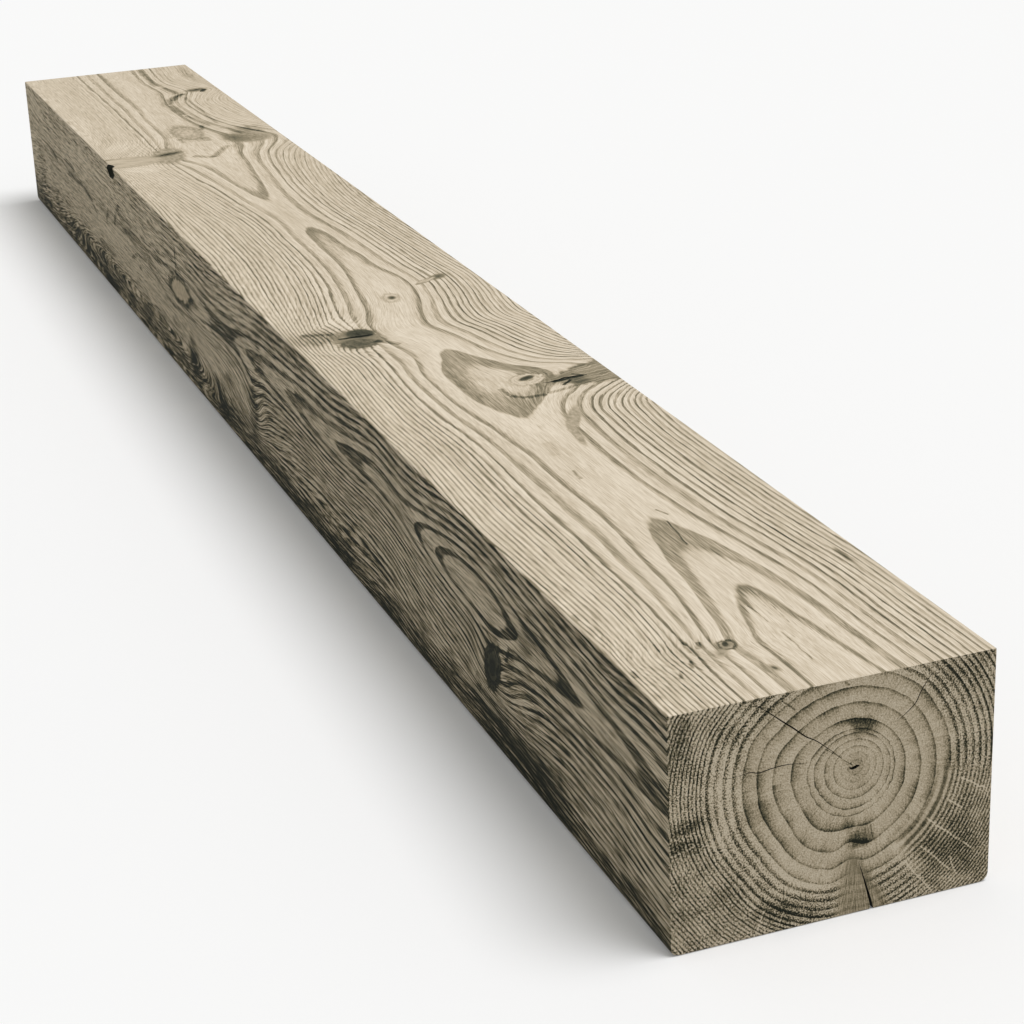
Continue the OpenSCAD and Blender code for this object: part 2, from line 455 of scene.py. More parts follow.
def arris_pocket(along, length, radius, drop):
    """A spindle along the left upper arris: circles whose radius follows an arc, made uneven by
    noise."""
    s = np.linspace(-1, 1, 25)[:, None]
    turn = np.linspace(0, 2 * np.pi, 24, endpoint=False)[None, :]
    r = radius * np.maximum(1 - s ** 2, 0.02)
    r = r * (1 + 0.18 * noise(3 * s + 0 * turn, 2 * np.cos(turn) + 0 * s, 2 * np.sin(turn) + 0 * s, 11))
    x = along + s * length / 2 + 0 * turn
    return np.stack([x, r * np.cos(turn) - SIDE_Y, r * np.sin(turn) + HEIGHT - drop], -1)


def new_mesh(name, points, faces):
    """A mesh in metres from points in millimetres."""
    mesh = bpy.data.meshes.new(name)
    mesh.from_pydata((np.asarray(points) * MM).tolist(), [], faces)
    mesh.update()
    return mesh


def cutter_object():
    """All splits and the pocket, as closed tubes in one mesh."""
    tubes = [end_split(*split) for split in END_SPLITS]
    tubes += [knot_split(*split) for split in KNOT_SPLITS]
    tubes.append(arris_pocket(**POCKET))
    points = []
    faces = []
    start = 0
    for tube in tubes:
        rows, columns = tube.shape[:2]
        faces += [[start + i for i in face] for face in tube_faces(rows, columns)]
        points.append(tube.reshape(-1, 3))
        start += rows * columns
    mesh = new_mesh("splits", np.concatenate(points), faces)
    fix_normals(mesh)
    return bpy.data.objects.new("splits", mesh)


def fix_normals(mesh):
    """Turns the faces of each closed shell outwards."""
    bm = bmesh.new()
    bm.from_mesh(mesh)
    bmesh.ops.recalc_face_normals(bm, faces=bm.faces)
    bm.to_mesh(mesh)
    bm.free()


class Wire:
    """One socket of a material's nodes. Python's operators add Math nodes, and add() adds any other
    node."""

    def __init__(self, tree, socket):
        self.tree = tree
        self.socket = socket

    def add(self, kind, settings=None, sockets=None, output=0):
        """Adds a node of a type with its settings, then the values or wires of its sockets. Returns one
        output."""
        node = self.tree.nodes.new(kind)
        for name, value in (settings or {}).items():
            setattr(node, name, value)
        for name, value in (sockets or {}).items():
            if isinstance(value, Wire):
                self.tree.links.new(value.socket, node.inputs[name])
            else:
                node.inputs[name].default_value = value
        return Wire(self.tree, node.outputs[output] if node.outputs else None)

    def out(self, output):
        """Another output of the same node."""
        return Wire(self.tree, self.socket.node.outputs[output])

    def math(self, operation, *values):
        return self.add("ShaderNodeMath", {"operation": operation}, dict(enumerate((self, *values))))

    def __add__(self, other):
        return self.math("ADD", other)

    __radd__ = __add__

    def __sub__(self, other):
        return self.math("SUBTRACT", other)

    def __rsub__(self, other):
        return (self * -1) + other

    def __mul__(self, other):
        return self.math("MULTIPLY", other)

    __rmul__ = __mul__

    def __truediv__(self, other):
        return self.math("DIVIDE", other)

    def __rtruediv__(self, other):
        return self.math("POWER", -1.0) * other

    def __pow__(self, other):
        return self.math("POWER", other)

    def __abs__(self):
        return self.math("ABSOLUTE")

    def most(self, other):
        return self.math("MAXIMUM", other)

    def least(self, other):
        return self.math("MINIMUM", other)

    def ease(self, low, high, start=0.0, end=1.0):
        """A smooth step between two values."""
        sockets = {"Value": self, "From Min": low, "From Max": high, "To Min": start, "To Max": end}
        return self.add("ShaderNodeMapRange", {"interpolation_type": "SMOOTHSTEP"}, sockets)

    def toward(self, other, share):
        """This value moved a share of the way to another."""
        return self + (other - self) * share

    def scaled(self, x, y, z):
        """This place with each axis multiplied by its own factor."""
        sockets = {0: self, 1: (x, y, z)}
        return self.add("ShaderNodeVectorMath", {"operation": "MULTIPLY"}, sockets)

    def noise(self, x, y, z, detail=2.0, roughness=0.5):
        """Noise from 0 to 1 at this place, with cells of the given sizes in millimetres along each
        axis."""
        place = self.scaled(1 / (x * MM), 1 / (y * MM), 1 / (z * MM))
        sockets = {"Vector": place, "Scale": 1.0, "Detail": detail, "Roughness": roughness}
        return self.add("ShaderNodeTexNoise", {"normalize": True}, sockets)

    def mixed(self, other, share):
        """This colour mixed towards another."""
        sockets = {0: share, 6: self, 7: other}
        return self.add("ShaderNodeMix", {"data_type": "RGBA"}, sockets, 2)


# A knot: its middle, half lengths along and across, turn in degrees, its tone, the tone of its core,
# how much darker its rim is, how soft its edge is and how many rings show in it
Knot = namedtuple("Knot", "along across long wide turn shade core rim soft rings")
# A branch cut along its length: its middle, half lengths, turn in degrees and tone
Branch = namedtuple("Branch", "along across long wide turn shade")
# A soft patch: its middle, half lengths, turn in degrees and how much it darkens
Stain = namedtuple("Stain", "along across long wide turn tone")
# A thin line from one place to another: its width and how much it darkens
Stroke = namedtuple("Stroke", "along across to_along to_across width tone")
# A side: its outward direction, the axes along and across it, its marks, the tone of its early wood, how
# much late wood, fibres, fine fibres, broad streaks and streaks along the rings change the tone, the share
# of a ring over which its late wood sets in, the ring up to which edges are calm, how much of the late wood
# is left at the far end, and how much darker the far end is. On the left side, which faces away from the
# key light, the darker early wood and stronger lines are painted shade, and a far end made lighter (below
# zero) is painted light. An end has only the tone of its early wood, and its own rings
FACE_FIELDS = "name normal axes marks pale late fibre fine broad streak onset calm far dim"
Face = namedtuple("Face", FACE_FIELDS, defaults=(0,) * 9)


def each(kind, *rows):
    """Marks of one kind, from rows of their values."""
    return [kind(*row) for row in rows]


UPPER_MARKS = (
    *each(
        Stain,
        (250, -40, 14, 12, 0, -0.1), (183, -46, 22, 12, 20, -0.14), (212, -76, 24, 22, -12, 0.26),
        (-400, -66, 20, 24, 0, -0.1), (-505, -70, 26, 20, 0, -0.06), (755, 83, 16, 2.5, 2, 0.35),
        (840, -52, 24, 18, 40, 0.1), (-850, 82, 60, 9, 0, 0.12), (-520, 70, 30, 16, 10, 0.12),
    ),
    Branch(378, 96, 23.5, 51, 14, 0.5),
    Stain(393, 67, 10, 9, 0, 0.2),
    *each(
        Knot,
        (374, 34, 12, 15, 22, 0.16, 0.3, 0.1, 0.2, 2.6),
        (371, 34.5, 3.4, 7.4, 29, 0.8, 0.92, 0, 0.3, 0),
    ),
    *each(
        Stroke,
        (401, 62, 410, 35, 3.4, 0.26), (410, 35, 411, 19, 3.8, 0.26), (411, 20, 402, 10, 3.8, 0.26),
        (402, 10, 384, 9.5, 3.2, 0.26), (383, 74, 388, 47, 2.8, 0.5), (388, 62, 398, 52, 1.8, 0.5),
        (384, 76, 377, 66, 1.4, 0.4),
    ),
    *each(
        Knot,
        (466, 32, 26, 5, -25, 0.42, 0.42, 0, 0.2, 0), (494, 22.5, 25, 3.2, -8, 0.42, 0.42, 0, 0.25, 0),
        (226, -46, 23, 18, 10, 0.52, 0.54, 0.06, 0.2, 0), (214, -40, 11, 11, 10, 0.84, 0.9, 0, 0.25, 0),
        (238, -48, 11.5, 13.5, -10, 0.7, 0.76, 0.06, 0.2, 0),
    ),
    *each(
        Stroke,
        (221, -31, 221, -60, 2.6, 0.4), (236, -35, 254, -20, 4.5, 0.28), (207, -58, 199, -84, 5, 0.2),
    ),
    *each(
        Knot,
        (836, -31.5, 6.2, 4.8, -20, 0.46, 0.62, 0.34, 0.18, 0),
        (834.5, -31.5, 3, 1.6, -20, 0.85, 0.9, 0, 0.3, 0),
        (844, -38, 5, 3.5, -40, 0.42, 0.46, 0, 0.6, 0), (872, -21, 4.5, 2.2, 15, 0.5, 0.78, 0, 0.6, 0),
        (135, 11, 12, 6.5, -12, 0.22, 0.3, 0.16, 0.3, 0),
        (135, 11.5, 4.5, 3, -12, 0.72, 0.8, 0, 0.6, 0), (95, 64, 9, 5.5, -48, 0.62, 0.7, 0, 0.5, 0),
    ),
    Branch(102, 51, 4, 14, 35, 0.34),
    Stain(-518, 66, 26, 20, 0, 0.2),
    *each(
        Knot,
        (-484, 60, 22, 25, -20, 0.48, 0.54, 0, 0.3, 0), (-490, 47, 21, 10, 8, 0.6, 0.66, 0, 0.5, 0),
        (-535, 8, 36, 16, 0, 0.38, 0.3, 0.1, 0.14, 0),
    ),
    *each(
        Stroke,
        (-512, -6, -490, -6, 4, 0.2), (-735, 52, -712, 30, 5, 0.26), (-714, 31, -682, 25.5, 5, 0.26),
        (-682, 25.5, -622, 27, 5, 0.26), (-622, 27, -556, 39, 4, 0.22), (-722, 49, -560, 48, 3, 0.2),
        (-900, 37, -785, 34, 6, 0.22), (-508, 20, -488, 18, 7, 0.22), (-566, 31, -540, 25, 4, 0.22),
        (-460, 32, -414, 6, 6, 0.26), (-413, 8, -430, -12, 7, 0.26),
    ),
    *each(
        Knot,
        (-444, -33, 33, 16, -12, 0.42, 0.46, 0.08, 0.2, 0),
        (-450, -32, 6, 15, 20, 0.7, 0.78, 0, 0.5, 0),
    ),
    Branch(-436, -78, 23, 40, 0, 0.3),
    Knot(-747, 70, 9, 12, 15, 0.6, 0.7, 0, 0.6, 0),
    *each(
        Stroke,
        (-748, 80, -733, 73, 4, 0.5), (-737, 54, -700, 31, 5, 0.26), (-780, 38, -735, 46, 9, 0.16),
        (653, 18, 641, 14, 1.4, 0.4), (660, 13, 702, 8, 0.8, 0.34), (556, -5.5, 574, -6.5, 1.7, 0.3),
        (780, 14, 826, 12, 0.7, 0.28), (794, 1, 820, 2.4, 0.7, 0.28), (832, 2.4, 873, 1.5, 0.7, 0.28),
        (709, 18, 767, 19, 0.7, 0.22), (826, -43, 835, -47, 2.2, 0.32), (845, -57, 855, -60, 1.8, 0.3),
        (854, -66, 864, -70, 1.8, 0.34), (818, -66, 829, -67, 1.5, 0.3),
        (822, -52, 838, -53, 1.4, 0.24), (764, -90, 774, -91, 2, 0.28), (844, -90, 853, -91, 2, 0.3),
        (500, -2, 528, -4, 5, 0.1),
    ),
)
LEFT_MARKS = (
    *each(
        Stain,
        (616, 42, 16, 14, 20, -0.14), (86, 46, 16, 28, -12, 0.4), (30, 40, 50, 26, 6, 0.16),
        (707, 101, 34, 14, 10, 0.36), (672, 74, 10, 6, 40, 0.3), (-124, 32, 22, 22, 0, 0.45),
        (-30, 25, 26, 22, 0, 0.3), (-188, 46, 16, 8, 0, 0.25), (-300, 22, 34, 22, 0, 0.2),
        (-606, 24, 34, 22, 0, 0.22), (-490, 22, 120, 26, 0, 0.18), (-30, 82, 34, 8, 0, 0.2),
        (-326, 63, 9, 4, 10, 0.4), (-380, 94, 60, 12, -6, 0.24), (-840, 55, 26, 42, 0, 0.18),
        (-560, 112, 160, 20, 0, -0.08),
    ),
    Knot(-158, 84, 40, 11, 4, 0.3, 0.28, 0.5, 0.16, 0),
    *each(
        Stroke,
        (-365, 63, -332, 74, 3, 0.34), (-332, 74, -292, 77, 3, 0.34), (-292, 77, -238, 69, 3, 0.34),
        (-238, 69, -198, 62, 3, 0.34), (-198, 62, -100, 69, 3, 0.34), (-321, 97, -172, 94, 2.6, 0.36),
        (-675, 82, -588, 85, 3.5, 0.28), (-588, 85, -543, 77, 4.5, 0.36), (-543, 77, -522, 67, 4, 0.3),
        (-780, 87, -728, 83, 4.5, 0.36), (-692, 94, -632, 93, 3.5, 0.34), (-478, 73, -461, 90, 5, 0.3),
        (-438, 78, -424, 95, 6, 0.36), (-424, 95, -402, 108, 5, 0.3),
    ),
    Knot(640, 56, 13, 19, -34, 0.9, 0.97, 0.1, 0.1, 2.4),
    *each(
        Stroke,
        (644, 70, 651, 64, 0.9, -0.22), (650, 75, 666, 70, 2.6, 0.42), (665, 70, 671, 81, 2.8, 0.5),
        (669, 80, 692, 84, 2.2, 0.3), (616, 75, 655, 79, 1.6, 0.4), (608, 38, 618, 32, 5, 0.3),
        (485, 94.5, 538, 93, 1, 0.4), (797, 94, 820, 92.5, 1, 0.4), (632, 99, 674, 97, 1, 0.4),
        (253, 97, 309, 95, 1, 0.4), (-168, 95, -166, 125, 3, 0.4),
    ),
)
RIGHT_MARKS = (
    Stain(-240, 62, 40, 12, 0, 0.15),
    Branch(379, 140, 24, 40, 4, 0.5),
    *each(
        Knot,
        (-210, 62, 13, 15, 15, 0.34, 0.5, 0.12, 0.25, 3), (-211, 62, 5, 5, 0, 0.75, 0.8, 0, 0.5, 0),
        (-640, 88, 9, 8, 0, 0.4, 0.7, 0.15, 0.3, 1.5),
    ),
)
LOWER_MARKS = (
    Branch(880, 22, 30, 14, 0, 0.5),
    *each(
        Knot,
        (120, 40, 16, 14, 10, 0.4, 0.6, 0.12, 0.25, 3), (121, 40, 5, 4, 0, 0.75, 0.8, 0, 0.5, 0),
        (-520, -30, 12, 10, 0, 0.45, 0.7, 0.15, 0.3, 2),
    ),
)
NEAR_END_MARKS = (
    *each(
        Stain,
        (16, 111.5, 12, 6.5, -22, 0.5), (12, 89, 8, 9, 0, 0.14), (15.5, 46, 9, 8, 0, 0.36),
        (16, 41.5, 8, 3.5, 0, 0.3), (9, 55, 5, 5, 0, 0.22), (-88, 74, 15, 5, 5, 0.42),
        (-87, 64, 15, 6, -8, 0.36), (-90, 122, 10, 26, -8, 0.3), (-92, 30, 8, 20, 0, 0.12),
        (-30, 10, 26, 11, -14, 0.3), (-46, 75, 15, 9, -10, 0.2), (-48, 96, 12, 12, 0, 0.08),
        (68, 128, 11, 18, 30, 0.2), (72, 28, 28, 22, -40, 0.24), (-20, 134, 34, 8, 8, 0.1),
        (-64, 88, 14, 34, 6, -0.18), (-34, 40, 34, 13, -46, -0.14), (42, 28, 7, 20, 40, -0.2),
        (-12, 24, 12, 8, -30, -0.1),
    ),
    *each(
        Stroke,
        (54, 49, 85, 22, 0.8, -0.5), (68, 56, 78, 49, 0.8, -0.5), (52, 32, 71, 12, 0.8, -0.5),
        (75, 68, 93, 57, 0.8, -0.5), (43, 24, 60, 2, 0.8, -0.45), (70, 21, 75, 8, 0.8, -0.4),
        (-40, 16, -46, 2, 0.8, -0.5), (-29, 12, -33, 2, 0.8, -0.4), (-92, 75, -84, 76, 0.7, -0.3),
        (-94, 59, -80, 63, 0.8, -0.34), (-31, 136, -23, 128, 0.7, 0.35), (5, 139, 8, 136, 1, 0.35),
        (-66, 97.5, -56, 97.6, 0.6, 0.3), (-21, 97, -16, 96.4, 0.6, 0.3), (-6, 103, 11, 89, 0.6, 0.3),
        (21.5, 52, 23, 43, 0.8, 0.3),
    ),
)
FAR_END_MARKS = (
    *each(
        Stain,
        (-40, 30, 40, 20, 20, 0.2), (60, 110, 30, 20, -30, 0.15),
    ),
    *each(
        Stroke,
        (10, 80, 40, 30, 0.8, 0.35), (10, 80, -20, 128, 0.7, 0.35),
    ),
)
FACES = (
    Face(
        "upper", (0, 0, 1), "xy", UPPER_MARKS,
        pale=0.15, late=0.42, fibre=0.4, fine=0.8, broad=0.25, streak=0.3, onset=0.25, calm=12,
        far=0.75, dim=0.05,
    ),
    # The left side faces away from the key light: its darker early wood and stronger lines are painted
    # shade, and its negative dim, which lightens its far end, is painted light
    Face(
        "left", (0, -1, 0), "xz", LEFT_MARKS,
        pale=0.27, late=0.76, fibre=1.2, fine=3.2, broad=0.4, streak=0.45, onset=0.1, calm=22.5,
        far=0.3, dim=-0.06,
    ),
    Face(
        "right", (0, 1, 0), "xz", RIGHT_MARKS,
        pale=0.22, late=0.48, fibre=0.6, fine=0.9, broad=0.4, streak=0.4, onset=0.25, calm=17, far=0.9,
        dim=0,
    ),
    Face(
        "lower", (0, 0, -1), "xy", LOWER_MARKS,
        pale=0.3, late=0.44, fibre=0.6, fine=0.9, broad=0.5, streak=0.4, onset=0.25, calm=14, far=0.9,
        dim=0,
    ),
    Face(
        "near_end", (1, 0, 0), "yz", NEAR_END_MARKS,
        pale=0.185,
    ),
    Face(
        "far_end", (-1, 0, 0), "yz", FAR_END_MARKS,
        pale=0.185,
    ),
)
# The tones at which the wood has each of its colours, from pale to black
SHADE_TONES = (0.0, 0.3, 0.55, 0.8, 1.0)
# What the nodes of a wood read: the place, the place along bent fibres, the ring number and the place
# in millimetres
Ground = namedtuple("Ground", "place fibres ring x y z")


def ground(start):
    """Adds the nodes that every wood reads."""
    place = start.add("ShaderNodeTexCoord", output="Object")
    spot = place.scaled(1 / MM, 1 / MM, 1 / MM)
    x = start.add("ShaderNodeSeparateXYZ", sockets={0: spot}, output="X")
    fibres = start.add("ShaderNodeAttribute", {"attribute_name": "fibres"}, output="Vector")
    ring = start.add("ShaderNodeAttribute", {"attribute_name": "ring_number"}, output="Fac")
    return Ground(place, fibres, ring, x, x.out("Y"), x.out("Z"))


def turned(u, v, degrees):
    """Two places turned together about their zero."""
    c = cos(radians(degrees))
    s = sin(radians(degrees))
    return u * c + v * s, v * c - u * s


def ellipse(mark, along, across):
    """Distance from the middle of a mark, which is 1 at its outline."""
    u, v = turned(along - mark.along, across - mark.across, mark.turn)
    u = u / mark.long
    v = v / mark.wide
    return (u * u + v * v).math("SQRT")


def add_knot(tone, knot, along, across, ragged):
    """Puts a knot over a tone: an ellipse with a ragged edge, thin rings inside it, a core and a
    rim."""
    far = ellipse(knot, along, across) + (ragged - 0.5) * 0.9
    inside = far.ease(1 - knot.soft, 1 + knot.soft, 1, 0)
    wood = far.ease(0.15, 0.6, knot.core, knot.shade) + (ragged - 0.5) * 0.6
    if knot.rings:
        part = (far * knot.rings + 0.2).math("FRACT")
        wood = wood + part.ease(0.45, 0.85) * part.ease(0.88, 1.0, 1, 0) * 0.2
    tone = tone.toward(wood, inside)
    if knot.rim:
        tone = tone + far.ease(0.7, 0.95) * far.ease(1.0, 1.4, 1, 0) * knot.rim
    return tone


def add_branch(tone, branch, along, across, ragged):
    """Puts a branch over a tone: an ellipse filled with streaks along its length, and darker at its
    edges."""
    far = ellipse(branch, along, across) + (ragged - 0.5) * 0.5
    inside = far.ease(0.8, 1.1, 1, 0)
    u, v = turned(along - branch.along, across - branch.across, branch.turn)
    u = u + (ragged - 0.5) * 6
    place = along.add("ShaderNodeCombineXYZ", sockets={"X": u / 1.7, "Y": v / 26})
    streak = along.add("ShaderNodeTexNoise", sockets={"Vector": place, "Scale": 1.0, "Detail": 3.0}) - 0.5
    wood = streak * 0.95 + branch.shade + far.ease(0.6, 1.0, 0, 0.14)
    return tone.toward(wood, inside)


def add_stain(tone, stain, along, across, ragged):
    """Darkens or lightens a tone within a soft ellipse."""
    far = ellipse(stain, along, across) + (ragged - 0.5) * 1.2
    return tone + far.ease(0.25, 1.2, stain.tone, 0)


def add_stroke(tone, stroke, along, across, ragged):
    """Darkens or lightens a tone along a thin line that wavers."""
    run = stroke.to_along - stroke.along
    rise = stroke.to_across - stroke.across
    half = np.hypot(run, rise) / 2
    middle = ((stroke.along + stroke.to_along) / 2, (stroke.across + stroke.to_across) / 2)
    u, v = turned(along - middle[0], across - middle[1], np.degrees(np.arctan2(rise, run)))
    v = abs(v + (ragged - 0.5) * 3)
    line = v.ease(stroke.width * 0.25, stroke.width, 1, 0) * abs(u).ease(half * 0.85, half, 1, 0)
    return tone + line * stroke.tone


MARKERS = {Knot: add_knot, Branch: add_branch, Stain: add_stain, Stroke: add_stroke}


def ring_parts(start, number):
    """How far through its growth ring a ring number is, a chance value for that ring, and the whole
    number."""
    whole = number.math("FLOOR")
    lot = start.add("ShaderNodeTexWhiteNoise", {"noise_dimensions": "1D"}, {"W": whole}, "Value")
    return number.math("FRACT"), lot, whole


def long_grain(start, face, g):
    """Tone and height of a side: late wood that darkens towards the end of each ring, with pronged
    edges, streaks along the fibres and along the rings, and short flecks. Lines fade towards the far
    end, narrow rings most. Rings 9 to 11, which draw the arches of the upper face, and the inner rings
    of the left side's eye have late wood of their own. On the left side lines also fade at the foot and
    past the second knot."""
    fibre = g.fibres.noise(110, 1.7, 1.7, 3, 0.6) - 0.5
    fine = g.fibres.noise(20, 0.7, 0.7, 2, 0.65) - 0.5
    broad = g.fibres.noise(300, 14, 14, 2) - 0.5
    prong = g.fibres.noise(50, 5, 5, 1) - 0.5
    fleck = g.fibres.noise(11, 0.9, 0.9, 1).ease(0.66, 0.8)
    outer = g.ring.ease(face.calm, face.calm + 3)
    wobble = prong * 0.3 + fibre * 0.2 + fine * 0.15
    part, lot, whole = ring_parts(start, g.ring + wobble * (outer * 1.3 + 0.4))
    begin = lot * 0.2 - outer * 0.06 + 0.44
    onset = face.onset
    if face.name == "upper":
        ninth, tenth, next_ring = (whole.math("COMPARE", ring, 0.1) for ring in (9.0, 10.0, 11.0))
        begin = begin.toward(0.42, tenth).toward(0.82, ninth).toward(0.6, next_ring)
        onset = face.onset - tenth * 0.07 - ninth * 0.14
    if face.name == "left":
        begin = begin.toward(0.6, whole.math("LESS_THAN", 21.5))
    late = part.ease(begin, begin + onset) * (part * 0.4 + 0.6) * part.ease(0.95, 1.0, 1, 0)
    kept = g.x.ease(-700, 350, face.far, 1)
    strength = lot * 0.7 + 0.6
    if face.name == "upper":
        strength = strength * (1 - tenth * 0.28)
        kept = kept * (1 - g.ring.ease(13, 16) * g.x.ease(-700, 0, 0.7, 0))
    if face.name == "left":
        inner = g.ring.ease(21.9, 22.0, 1, 0)
        strength = strength.toward(1.0, inner)
        fade = 1 - g.x.ease(20, 90, 1, 0) * g.z.ease(45, 78, 1, 0) * 0.9
        kept = kept * fade * g.z.ease(15, 75, 0.55, 1) * g.x.ease(-400, 100, 0.6, 1)
    late = late * strength * kept
    early = part.ease(0.0, 0.3, 1, 0)
    flow = start.add("ShaderNodeCombineXYZ", sockets={"X": g.x / 220, "Y": g.ring * 2.6})
    streak = start.add("ShaderNodeTexNoise", sockets={"Vector": flow, "Scale": 1.0, "Detail": 3.0}) - 0.5
    tone = late * face.late + fibre * face.fibre + fine * face.fine + broad * face.broad
    tone = tone + streak * face.streak * kept + fleck * 0.16 - early * 0.06
    # Painted light and shade on the left side: its darker early wood, and its far end lightened by a
    # negative dim
    tone = tone + g.x.ease(-700, 350, face.dim, 0) + face.pale
    return tone, late * 0.6 + fibre * 0.5 + fine * 0.6 - fleck * 0.6


def end_grain(start, face, g):
    """Tone and height of an end: rings that darken outwards to a thin line, broader bands in the
    sapwood, rays that point to the pith, and pores. One quarter has finer rings."""
    dy = g.y - NEAR_PITH[0]
    dz = g.z - NEAR_PITH[1]
    radius = (dy * dy + dz * dz).math("SQRT")
    angle = dz.math("ARCTAN2", dy)
    polar = start.add("ShaderNodeCombineXYZ", sockets={"X": angle * 40, "Y": radius / 9})
    ray = start.add("ShaderNodeTexNoise", sockets={"Vector": polar, "Scale": 1.0, "Detail": 2.0}) - 0.5
    pores = g.place.noise(2, 1.0, 1.0, 1, 0.75) - 0.5
    blotch = g.place.noise(60, 18, 18, 3, 0.6) - 0.5
    number = g.ring + (g.place.noise(9, 9, 9, 2) - 0.5) * 0.16
    part, lot, whole = ring_parts(start, number)
    sap = number.ease(9.3, 11.5)
    arc = start.add("ShaderNodeCombineXYZ", sockets={"X": angle * 2.4, "Y": whole * 3.7})
    arc = start.add("ShaderNodeTexNoise", sockets={"Vector": arc, "Scale": 1.0, "Detail": 2.0})
    line = part.ease(0.76, 0.96) * part.ease(0.965, 1.0, 1, 0)
    heart = (part.ease(0.2, 1) * arc.ease(0.35, 0.65, 0.04, 0.4) + line * 0.26) * number.ease(1, 6, 0.35, 1)
    heart = heart * part.ease(0.975, 1.0, 1, 0)
    band = part.ease(0.35, 0.75) * part.ease(0.9, 1.0, 1, 0) * (lot * 0.4 + 0.4)
    rings = heart.toward(band, sap)
    if face.name == "near_end":
        sector = angle.ease(-1.2, -1.0) * angle.ease(-0.3, -0.12, 1, 0) * radius.ease(46, 60)
        narrow = abs((number * 1.6).math("FRACT") - 0.5).ease(0.1, 0.4, 0.5, 0)
        rings = rings.toward(narrow, sector)
        pores = pores * (1 - sector * 0.35)
    tone = rings + pores * (sap * 2.1 + 1.0) + ray * (0.5 - sap * 0.1) + blotch * (sap * 0.8 + 0.35)
    return tone + sap * 0.02 + face.pale, rings * 0.5 - pores * 1.2


def dark_foot(tone, g):
    """Blackens the foot of a side with level streaks. It is black and sharp near the checked end, and
    higher, paler and softer towards the far end."""
    edge = g.place.noise(120, 9, 3.2, 4, 0.65) - 0.5
    away = g.x.ease(-350, 250, 1, 0)
    darkest_part = abs(g.x - 680).ease(40, 110, 1, 0)
    height = 19 + darkest_part * 11 + away * 18
    soft = 8 + away * 18
    dash = g.place.noise(22, 3, 1.3, 2, 0.6) - 0.5
    patch = g.place.noise(46, 20, 20, 3, 0.6) - 0.5
    foot_dark = ((height - g.z - edge * 40 - dash * 24) / soft * 0.5 + 0.5).ease(0, 1)
    tone = tone + g.z.ease(12, 48, 0.2, 0) * g.x.ease(450, 620, 1, 0)
    return tone + foot_dark * (0.42 + darkest_part * 0.26 - away * 0.06 - dash * 1.0 + away * patch * 1.2)


def end_knot_cone(tone, g):
    """The cone of a branch below the pith, whose fibres run down the end and spread."""
    waver = (g.place.noise(9, 9, 14, 3) - 0.5) * 6
    lean = (g.y - 14 + waver * 0.4) / ((g.z * -1 + 60) / 60)
    fan = g.x.add("ShaderNodeCombineXYZ", sockets={"X": lean / 0.9, "Y": g.z / 12})
    streak = g.x.add("ShaderNodeTexNoise", sockets={"Vector": fan, "Scale": 1.0, "Detail": 4.0}) - 0.5
    left = g.y - (g.z * 0.2 - 1) + waver
    right = (g.z * -0.62 + 36) - g.y + waver
    inside = left.ease(-3, 6) * right.ease(-4, 6) * g.z.ease(30, 44, 1, 0)
    wood = streak * 1.2 + 0.46 + right.ease(0, 9, 0.12, 0.0) + g.z.ease(18, 34, 0, 0.12)
    return tone.toward(wood, inside * 0.85)


def new_material(name):
    """An empty material, and a wire from which its nodes are added."""
    material = bpy.data.materials.new(name)
    material.use_nodes = True
    material.node_tree.nodes.clear()
    return material, Wire(material.node_tree, None)


def wood_material(face, colours):
    """Dressed softwood: a single tone, from pale early wood to black, is worked out and then coloured."""
    material, start = new_material(face.name + "_wood")
    g = ground(start)
    is_end = "x" not in face.axes
    tone, height = (end_grain if is_end else long_grain)(start, face, g)
    # Darkens the foot of the left side
    if face.name == "left":
        tone = dark_foot(tone, g)
    if face.name == "near_end":
        tone = end_knot_cone(tone, g)
    along, across = (getattr(g, axis) for axis in face.axes)
    waver = g.place.noise(*((9, 9, 9) if is_end else (14, 7, 7)), 3, 0.6)
    torn = g.place.noise(7, 4, 4, 4, 0.65)
    for mark in face.marks:
        tone = MARKERS[type(mark)](tone, mark, along, across, torn if isinstance(mark, Knot) else waver)
    ramp_node = start.add("ShaderNodeValToRGB", sockets={0: tone})
    stops = ramp_node.socket.node.color_ramp
    shades = (colours.pale, colours.straw, colours.brown, colours.olive, colours.black)
    for i, (position, colour) in enumerate(zip(SHADE_TONES, shades)):
        stop = stops.elements[i] if i < 2 else stops.elements.new(position)
        stop.position = position
        stop.color = (*colour, 1)
    bump = start.add("ShaderNodeBump", sockets={"Strength": 0.35, "Distance": 0.6 * MM, "Height": height})
    rough = (0.72 + height * 0.1).least(1.0)
    shader = start.add(
        "ShaderNodeBsdfPrincipled",
        sockets={"Base Color": ramp_node, "Roughness": rough, "Specular IOR Level": 0.12, "Normal": bump},
    )
    start.add("ShaderNodeOutputMaterial", sockets={"Surface": shader})
    return material


def split_shade_material(colours):
    """The inside of the splits: rough and almost black, painted shade for their depth."""
    material, start = new_material("split_wood")
    place = start.add("ShaderNodeTexCoord", output="Object")
    streak = place.noise(20, 1.5, 1.5, 3)
    dark = start.add("ShaderNodeRGB")
    dark.socket.default_value = (*colours.black, 1)
    brown = start.add("ShaderNodeRGB")
    brown.socket.default_value = (*colours.olive, 1)
    colour = dark.mixed(brown, streak.ease(0.4, 0.9, 0, 0.5))
    shader = start.add("ShaderNodeBsdfPrincipled", sockets={"Base Color": colour, "Roughness": 0.95})
    start.add("ShaderNodeOutputMaterial", sockets={"Surface": shader})
    return material


# Edges that turn by more degrees than this stay sharp
SHARP_ANGLE = 35
# How far the floor lies below the timber
FLOOR_GAP = 0.2
# Turn of the key light in degrees
KEY_TILT = -18
KEY_LEAN = 12
